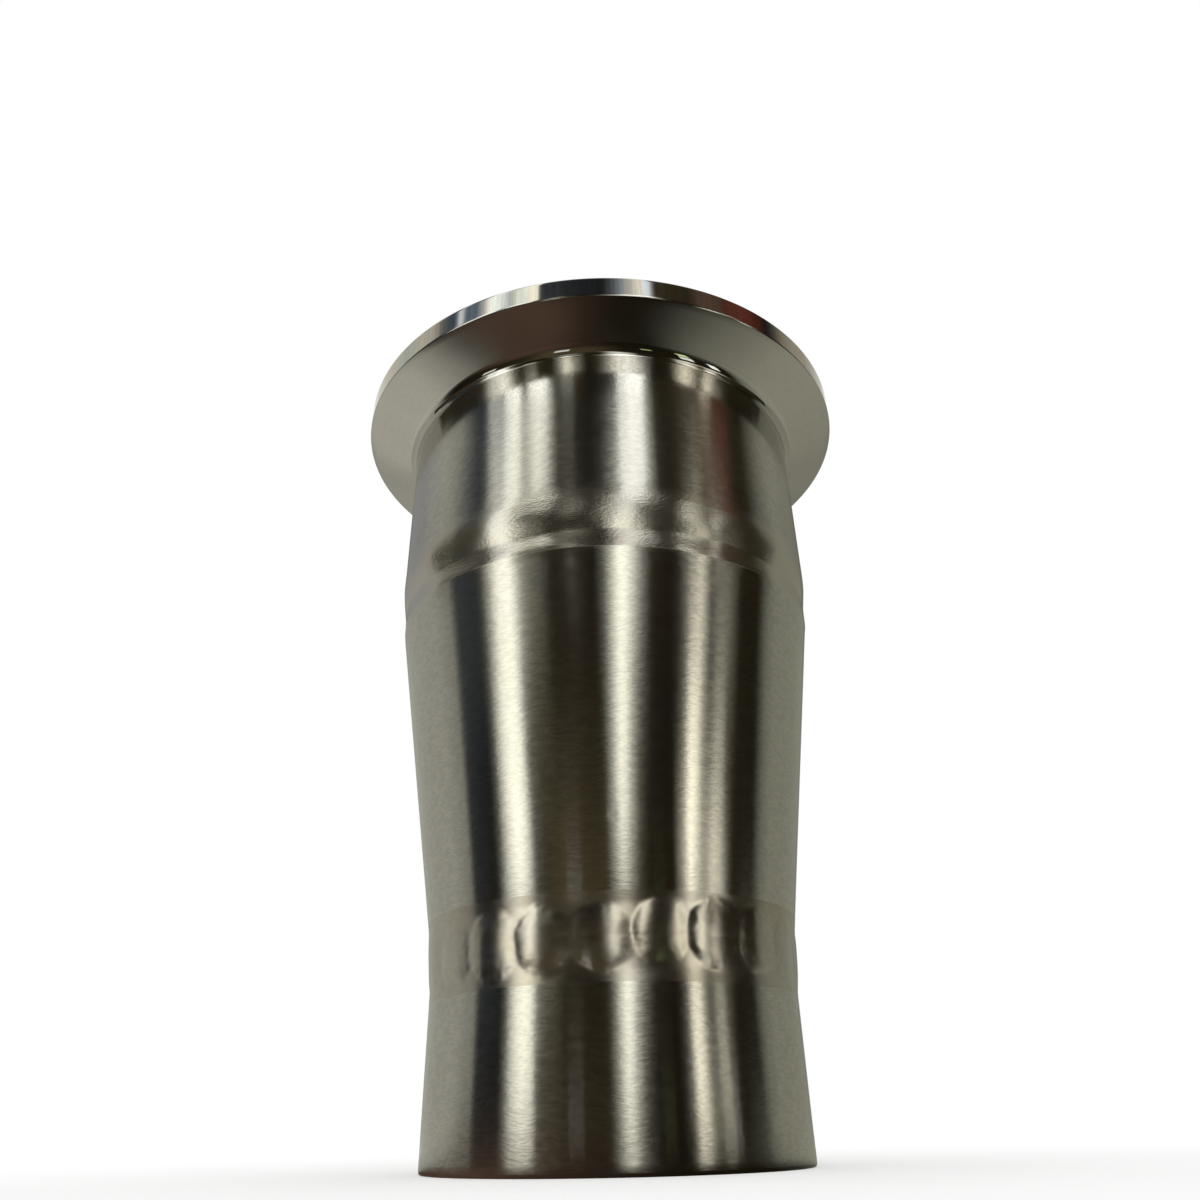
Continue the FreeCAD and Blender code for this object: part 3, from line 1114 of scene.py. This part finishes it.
@dataclass
class Studio:
    """Pale floor, white surroundings, and the soft panels and dark flags that the steel mirrors.

    A ring is the light about the axis at one height, as stops: degrees to the right of the
    camera's side, brightness, and the light's colour at brightness 1. A stop without a colour
    keeps the one before it, and a ring starts plain. Lengths are in metres and angles in degrees,
    and a step is the two heights, distances or parts of a turn between which one ring gives way
    to the next.
    """

    brightest: float = 4.0
    floor_half: float = 30.0
    floor_tone: Colour = (0.85, 0.85, 0.85)
    floor_lift: float = 0.27
    surround_radius: float = 3.0
    side_step: Pair = (0.248, 0.256)
    high_steps: tuple[Pair, ...] = ((6.0, 11.0), (26.0, 36.5), (38.8, 40.2))
    rim_step: Pair = (39.8, 40.8)
    rim_arch: float = 3.0
    back_step: Pair = (20.0, 30.0)
    overhead_step: Pair = (50.0, 72.0)
    overhead: float = 0.75
    close_step: Pair = (0.05, 0.1)
    near_step: Pair = (0.2, 0.3)
    flag_radius: float = 0.085
    flag_heights: Pair = (0.079, 0.0845)
    flag_step: Pair = (0.081, 0.082)
    sill_radius: float = 0.06
    sill_heights: Pair = (0.0705, 0.0795)
    band_half_turn: int = 84
    band_columns: int = 42
    cards: tuple[Card, ...] = (
        Card(-60.0, 4.0, 0.13, 0.17, 1.0),
        Card(-19.5, 4.0, 0.09, 0.12, 0.9),
        Card(26.5, 3.0, 0.085, 0.1, 0.5, GREEN),
        Card(49.0, 3.5, 0.075, 0.095, 1.1, GREEN),
        Card(48.0, 4.0, 0.105, 0.15, 1.2),
        Card(65.0, 3.0, 0.1, 0.15, 1.5),
    )
    far_ring: Ring = (
        (-92, 0.3, CREAM), (-88, 0.05, COOL), (-70, 0.02, UMBER), (-66, 0.12, CREAM), (-60, 1.2),
        (-54, 2.6), (-50, 2.1), (-46.5, 1.2), (-43, 0.15), (-36, 0.05, UMBER), (-26, 0.1), (-8, 0.06),
        (-1, 0.07), (3, 0.7, CREAM), (6.5, 1.8), (9, 1.5), (12, 0.7), (17, 0.1, UMBER), (22, 0.015),
        (37, 0.02), (42, 0.9, HONEY), (46.5, 3.0), (50, 1.6), (54, 0.8), (57, 1.1), (61, 2.1), (67, 1.0),
        (71, 0.2), (75, 0.03, UMBER), (92, 0.015),
    )
    low_ring: Ring = (
        (-92, 0.3, CREAM), (-87, 0.03, COOL), (-70, 0.012), (-66, 0.12, CREAM), (-60, 1.4), (-54, 1.8),
        (-49, 1.4), (-45, 0.08), (-42, 0.06, UMBER), (-36, 0.05), (-28, 0.02), (-2, 0.02),
        (2, 0.4, CREAM), (7, 1.65), (9.5, 1.65), (13, 0.45), (17, 0.03, UMBER), (21, 0.008), (41, 0.01),
        (44, 0.2, HONEY), (47.5, 1.8), (51, 1.6), (54.5, 0.35), (58, 0.08), (61, 0.15), (64, 0.5),
        (67, 0.5), (70, 0.05, UMBER), (75, 0.02), (92, 0.012),
    )
    mid_ring: Ring = (
        (-92, 0.25, CREAM), (-86, 0.06, COOL), (-72, 0.04), (-68, 0.07, CREAM), (-63, 0.5), (-58, 1.5),
        (-51, 1.75), (-46.5, 0.95), (-43, 0.45), (-39, 0.25, OLIVE), (-33, 0.12), (-28, 0.015, UMBER),
        (-5, 0.01), (0, 0.15, CREAM), (4, 0.8), (8.5, 1.8), (12, 1.8), (15.5, 1.1), (20, 0.3),
        (24.5, 0.03, UMBER), (40, 0.012), (45, 0.08, HONEY), (49, 0.35), (53, 0.95), (56, 0.45),
        (59, 0.05), (64, 0.2), (71, 0.2), (78, 0.02, UMBER), (92, 0.015),
    )
    high_ring: Ring = (
        (-92, 0.3, CREAM), (-82, 0.1, COOL), (-74, 0.03), (-69, 0.1), (-64, 0.62, CREAM),
        (-59, 0.5, WHITE), (-55.5, 1.2), (-50, 1.6, CREAM), (-45.5, 0.75), (-41, 0.9), (-36.5, 1.6),
        (-32, 1.05), (-28.5, 0.3), (-24, 0.03, UMBER), (-10, 0.01), (3, 0.02), (8, 0.12, WHITE),
        (11.5, 1.2), (18, 1.9), (24, 1.8), (28, 0.7, CREAM), (32, 0.05, OLIVE), (38, 0.02, UMBER),
        (52, 0.03), (60, 0.09), (66, 0.08, RUST), (74, 0.06, EMBER), (82, 0.03, UMBER), (92, 0.015),
    )
    neck_ring: Ring = (
        (-92, 0.04, COOL), (-76, 0.03), (-71, 0.1), (-68.5, 0.7, WHITE), (-64, 0.6), (-60, 0.55),
        (-57.5, 1.5), (-49, 1.75), (-47.5, 0.12, CREAM), (-44.5, 0.12), (-42.5, 1.6, WHITE), (-36, 1.85),
        (-32, 1.6), (-29.5, 0.2, CREAM), (-25, 0.1, OLIVE), (-21.5, 0.35, CREAM), (-17, 0.35),
        (-14, 0.06, UMBER), (-7, 0.012), (6, 0.02), (9.5, 0.1, WHITE), (12.5, 1.3), (18, 1.95),
        (25, 2.0), (28.5, 0.3, OLIVE), (32, 0.015, UMBER), (52, 0.04), (60, 0.12, STRAW), (65, 0.7),
        (68, 0.6), (72, 0.04, UMBER),
    )
    rim_ring: Ring = (
        (-92, 0.56, CREAM), (-88, 0.46), (-83, 0.18), (-79, 0.09, STEEL), (-73.5, 0.08),
        (-72, 1.0, PLAIN), (-70, 0.8), (-68.5, 0.17, STEEL), (-61.5, 0.17), (-57.5, 0.6, PLAIN),
        (-54, 1.5, CREAM), (-51, 1.5), (-46.5, 1.0, PLAIN), (-43, 0.6, OLIVE), (-39.5, 1.15, CREAM),
        (-29.4, 1.4), (-28.9, 0.05, COOL), (-12, 0.025), (3, 0.015), (8, 0.12), (15, 0.5, PLAIN),
        (20, 1.05, STRAW), (26.2, 1.2, COOL), (27, 0.04, UMBER), (46, 0.035), (53, 0.08, RUST),
        (62, 0.065), (66, 0.05, EMBER), (76, 0.08), (84, 0.05), (92, 0.012, PLAIN),
    )
    low_back: Ring = (
        (-180, 1.1), (-172, 1.1), (-168, 0.3), (-158, 0.42, CREAM), (-106, 0.4), (-92, 0.3),
        (92, 0.012, UMBER), (100, 0.2, OLIVE), (108, 0.27), (150, 0.29), (160, 0.2, PLAIN), (170, 1.1),
        (180, 1.1),
    )
    high_back: Ring = (
        (-180, 1.1), (-172, 1.1), (-166, 0.12), (-150, 0.28), (-128, 0.3), (-104, 0.4, CREAM),
        (-92, 0.3), (92, 0.015, UMBER), (104, 0.18, OLIVE), (114, 0.27), (150, 0.2), (160, 0.08, PLAIN),
        (170, 1.1), (180, 1.1),
    )
    rim_back: Ring = (
        (-180, 0.95), (-156, 0.93), (-144, 0.75, CREAM), (-128, 0.64), (-112, 0.54), (-92, 0.56),
        (92, 0.012, PLAIN), (98, 0.09, STRAW), (103, 0.23), (112, 0.33), (124, 0.37), (136, 0.54, CREAM),
        (148, 0.64), (158, 0.95, PLAIN), (180, 0.95),
    )
    # The floor's rings near the axis: painted glow, darker in front as a painted shadow of the fitting that
    # the steel mirrors.
    near_glow_and_shade: Ring = (
        (-180, 0.35), (-166, 0.5, CREAM), (-153, 0.56), (-108, 0.56), (-98, 0.42), (-91, 0.05, OLIVE),
        (-84, 0.012, UMBER), (-40, 0.03), (-26, 0.09), (-4, 0.07), (14, 0.015), (75, 0.014),
        (84, 0.2, OLIVE), (100, 0.36), (118, 0.37), (150, 0.31), (166, 0.3, PLAIN), (180, 0.35),
    )
    close_glow_and_shade: Ring = (
        (-180, 0.25), (-150, 0.3, CREAM), (-110, 0.35), (-98, 0.3), (-90, 0.09, OLIVE),
        (-80, 0.06, RUST), (-45, 0.07), (-15, 0.03), (15, 0.012, UMBER), (45, 0.012), (60, 0.04, OLIVE),
        (72, 0.1), (88, 0.22), (110, 0.3), (150, 0.28), (180, 0.25, PLAIN),
    )
    flag_ring: Ring = (
        (-84, 0.03, UMBER), (-56.5, 0.06, COOL), (-53, 1.3, CREAM), (-50, 1.0, WHITE), (-47, 2.2),
        (-43.5, 2.0), (-41.5, 1.1), (-39.5, 0.08, CREAM), (-35.5, 0.05, UMBER), (-33.5, 1.2, CREAM),
        (-30, 2.0), (-28, 0.1, UMBER), (-21, 0.02), (-18, 1.2, CREAM), (-14.5, 4.0), (-12, 2.2),
        (-8.5, 0.4), (-6.5, 0.02, UMBER), (3, 0.02), (6, 0.3, WHITE), (9, 2.2), (12, 3.6), (18, 3.8),
        (22, 1.2), (25, 0.03, UMBER), (35, 0.05), (37.5, 1.3, STRAW), (41.5, 1.3), (45.5, 0.15),
        (49, 0.15, UMBER), (52, 3.0, HONEY), (56.5, 0.03, UMBER),
    )
    foot_ring: Ring = (
        (-84, 0.02, UMBER), (-57.5, 0.05, COOL), (-54.5, 0.9, WHITE), (-52, 1.6), (-50, 1.2),
        (-47.5, 2.2), (-44, 2.2), (-42, 0.8), (-40, 0.1, UMBER), (-36.5, 0.01), (-21, 0.02),
        (-18, 0.3, CREAM), (-14.5, 3.0), (-11.5, 0.5), (-8.5, 0.5), (-6, 0.02, UMBER), (2.5, 0.04),
        (5, 0.7, WHITE), (8, 2.4), (14.5, 3.5), (17.5, 1.2), (20, 0.1, UMBER), (22.5, 0.02), (35, 0.02),
        (37.5, 0.8, STRAW), (41, 1.8, WHITE), (44, 1.6, STRAW), (47, 0.1, UMBER), (49.5, 0.06),
        (52.5, 1.8, STRAW), (55, 1.2), (57, 0.02, UMBER),
    )
    sill_ring: Ring = (
        (-84, 0.03, UMBER), (-53, 0.06), (-50.5, 0.3, CREAM), (-48.5, 1.5, WHITE), (-46, 1.0),
        (-43.5, 1.7), (-41, 1.4), (-38.5, 0.2, UMBER), (-36, 0.03), (-22, 0.02), (-17, 0.1, CREAM),
        (-15, 0.3), (-11.5, 0.3), (-8, 0.1), (-5, 0.02, UMBER), (2, 0.02), (5, 0.6, WHITE), (9, 1.0),
        (13, 0.7), (16.5, 0.05, UMBER), (25, 0.01), (32, 0.04), (34, 0.7, CREAM), (38.5, 0.9),
        (41.5, 0.5), (44, 0.05, UMBER), (46, 0.08), (48, 0.6, CREAM), (51, 0.8), (54, 0.03, UMBER),
    )

    def build(self) -> None:
        """Build the world, the floor, the cards, the bands and the surround."""
        self._world()
        self._floor()
        self._cards()
        # Two bands in front, level with the flange, that its back and the fillet mirror.
        self._band("level_flag", self.flag_radius, self.flag_heights, self.foot_ring, self.flag_ring)
        self._band("level_sill", self.sill_radius, self.sill_heights, self.sill_ring, self.sill_ring)
        self._surround()
        bpy.context.scene.view_settings.view_transform = "Standard"

    @staticmethod
    def _stand(name: str, mesh: bpy.types.Mesh, only_mirrored: bool = True) -> None:
        """Stand a piece of the studio in the scene.

        Args:
            name: its name.
            mesh: its mesh.
            only_mirrored: whether reflections alone show it.
        """
        piece = bpy.data.objects.new(name, mesh)
        bpy.context.scene.collection.objects.link(piece)
        piece.visible_camera = not only_mirrored
        piece.visible_diffuse = not only_mirrored
        piece.visible_shadow = not only_mirrored
        piece.visible_transmission = not only_mirrored

    @staticmethod
    def _world() -> None:
        """A world that is white to look at and a little softer on the floor."""
        world = bpy.data.worlds.new("studio_air")
        bpy.context.scene.world = world
        world.use_nodes = True
        world.node_tree.nodes.clear()
        tree = Tree(world.node_tree)
        path = tree.node("ShaderNodeLightPath")
        seen = Value(tree, path.outputs["Is Camera Ray"])
        for name in ("Is Glossy Ray", "Is Transmission Ray"):
            seen = seen.apply("MAXIMUM", Value(tree, path.outputs[name]))
        light = {"Color": PLAIN, "Strength": seen * 0.1 + 0.9}
        tree.node("ShaderNodeOutputWorld", None, {0: tree.value("ShaderNodeBackground", None, light)})

    def _rings(self, tree: Tree, place: Value, *rings: Ring) -> list[Value]:
        """The colours of some rings, seen from the axis.

        Args:
            tree: the material's tree.
            place: position in metres.
            rings: the rings.

        Returns:
            One colour for each ring.
        """
        x, y, _ = tree.split(place)
        turn = x.apply("ARCTAN2", -y) / FULL_TURN + 0.5
        colours = []
        for ring in rings:
            tint = PLAIN
            stops = []
            for degrees, level, *own in ring:
                tint = own[0] if own else tint
                colour = tuple(part * level / self.brightest for part in tint)
                stops.append(((degrees + 180.0) / 360.0, colour))
            colours.append(tree.value("ShaderNodeValToRGB", {"stops": stops}, {"Fac": turn}))
        return colours

    def _around(self, tree: Tree, place: Value, front: Value, back: Value) -> Value:
        """The front's colour up to a quarter turn to either side, and the back's from there on."""
        x, y, _ = tree.split(place)
        turn = abs(x.apply("ARCTAN2", -y) / FULL_TURN)
        return tree.blend(turn.step(*self.side_step), front, back)

    def _floor(self) -> None:
        """The floor: white to the camera, with the shadow kept; to the steel it is a painted glow in rings,
        darker in front close to the axis as a painted shadow of the fitting.
        """
        material, tree, place = new_material("pale_floor")
        rings = (self.close_glow_and_shade, self.near_glow_and_shade, self.far_ring, self.low_back)
        close, near, front, back = self._rings(tree, place, *rings)
        x, y, _ = tree.split(place)
        distance = (x * x + y * y).apply("SQRT")
        # To the steel the floor glows with painted light in rings, and close to the axis it is darker in
        # front: a painted shadow of the fitting.
        shown = tree.blend(distance.step(*self.close_step), close, near)
        far = self._around(tree, place, front, back)
        grey = tree.glow(tree.blend(distance.step(*self.near_step), shown, far), self.brightest)
        pale = tree.value("ShaderNodeBsdfDiffuse", None, {"Color": self.floor_tone})
        seen = tree.value("ShaderNodeAddShader", None, {0: pale, 1: tree.glow(PLAIN, self.floor_lift)})
        camera = tree.value("ShaderNodeLightPath", None, None, "Is Camera Ray")
        tree.show(tree.mix(camera, grey, seen))
        half = self.floor_half
        mesh = bpy.data.meshes.new("studio_floor")
        corners = [(-half, -half, 0.0), (half, -half, 0.0), (half, half, 0.0), (-half, half, 0.0)]
        mesh.from_pydata(corners, [], [(0, 1, 2, 3)])
        mesh.materials.append(material)
        self._stand("studio_floor", mesh, False)

    def _cards(self) -> None:
        """The bright cards, one material each."""
        mesh = bpy.data.meshes.new("floor_cards")
        corners = [corner for card in self.cards for corner in card.corners()]
        mesh.from_pydata(corners, [], [tuple(range(i, i + 4)) for i in range(0, len(corners), 4)])
        for card, face in zip(self.cards, mesh.polygons):
            material, tree, _ = new_material("bright_card")
            tree.show(tree.glow(card.tint, card.level))
            mesh.materials.append(material)
            face.material_index = face.index
        self._stand("floor_cards", mesh)

    def _band(self, name: str, radius: float, heights: Pair, low: Ring, high: Ring) -> None:
        """One band of light: the front of an upright cylinder.

        Args:
            name: its name.
            radius: its distance from the axis.
            heights: heights of its edges.
            low: the light below the flag step.
            high: the light above it.
        """
        material, tree, place = new_material(name)
        below, above = self._rings(tree, place, low, high)
        level = tree.split(place)[2].step(*self.flag_step)
        tree.show(tree.glow(tree.blend(level, below, above), self.brightest))
        step = 2 * self.band_half_turn // self.band_columns
        turns = range(-self.band_half_turn, self.band_half_turn + 1, step)
        corners = [
            (math.sin(turn) * radius, -math.cos(turn) * radius, height)
            for turn in map(math.radians, turns)
            for height in heights
        ]
        mesh = bpy.data.meshes.new(name)
        faces = [(i, i + 2, i + 3, i + 1) for i in range(0, len(corners) - 2, 2)]
        mesh.from_pydata(corners, [], faces)
        mesh.materials.append(material)
        self._stand(name, mesh)

    def _surround(self) -> None:
        """The sphere of panels and flags about everything."""
        shape = bmesh.new()
        bmesh.ops.create_uvsphere(shape, u_segments=96, v_segments=48, radius=self.surround_radius)
        mesh = bpy.data.meshes.new("studio_panels")
        shape.to_mesh(mesh)
        shape.free()
        mesh.materials.append(self._panels())
        self._stand("studio_panels", mesh)

    def _panels(self) -> bpy.types.Material:
        """Light by direction: five rings in front, three behind, and an even top."""
        material, tree, place = new_material("soft_panels")
        x, y, z = tree.split(place)
        level = (x * x + y * y).apply("SQRT")
        raised = z.apply("ARCTAN2", level) * (360.0 / FULL_TURN)
        # The camera is close, so the rim mirrors light that comes lower the further it is to the side.
        over = (raised + y / level * self.rim_arch).step(*self.rim_step)
        rings = (self.low_ring, self.mid_ring, self.high_ring, self.neck_ring, self.rim_ring)
        front, *higher, rim = self._rings(tree, place, *rings)
        for ring, heights in zip(higher, self.high_steps):
            front = tree.blend(raised.step(*heights), front, ring)
        front = tree.blend(over, front, rim)
        low, high, rim = self._rings(tree, place, self.low_back, self.high_back, self.rim_back)
        back = tree.blend(over, tree.blend(raised.step(*self.back_step), low, high), rim)
        around = self._around(tree, place, front, back)
        top = (self.overhead / self.brightest,) * 3
        everywhere = tree.blend(raised.step(*self.overhead_step), around, top)
        tree.show(tree.glow(everywhere, self.brightest))
        return material


@dataclass(frozen=True)
class ViewCamera:
    """The camera of the picture: below the flange, close by and looking up. Lengths are in mm."""

    distance: float = 111.668
    height: float = 3.303
    pitch: float = 0.548
    roll: float = -0.022
    yaw: float = 0.0032
    lens: float = 29.056
    sensor: float = 36.0
    shift: float = -0.051
    clip: Pair = (0.001, 200.0)

    def build(self) -> None:
        """Place the camera and make it the scene's own."""
        data = bpy.data.cameras.new("view")
        data.lens = self.lens
        data.sensor_width = self.sensor
        data.shift_y = self.shift
        data.clip_start, data.clip_end = self.clip
        level = Vector((-math.sin(self.yaw), math.cos(self.yaw), 0.0))
        side = Vector((math.cos(self.yaw), math.sin(self.yaw), 0.0))
        ahead = level * math.cos(self.pitch) + Vector((0.0, 0.0, math.sin(self.pitch)))
        above = side.cross(ahead)
        right = side * math.cos(self.roll) + above * math.sin(self.roll)
        up = right.cross(ahead)
        turn = Matrix((right, up, -ahead)).transposed().to_4x4()
        place = Vector((0.0, -self.distance, self.height)) * MM
        camera = bpy.data.objects.new("view", data)
        camera.matrix_world = Matrix.Translation(place) @ turn
        bpy.context.scene.collection.objects.link(camera)
        bpy.context.scene.camera = camera


def main() -> None:
    """Build the studio, the pieces and the camera in order."""
    logging.basicConfig(level=logging.INFO, format="%(name)s: %(message)s")
    run = Run()
    work = HandWork(run)
    finishes = Finishes(run)
    Studio().build()
    for piece in (ClampFerrule(run), GroundWeld(run), ReducerCone(run)):
        piece.build(work, finishes)
    PuddleWeld(run).build(finishes)
    TubeEnd(run).build(work, finishes)
    ViewCamera().build()


if __name__ == "__main__":
    main()
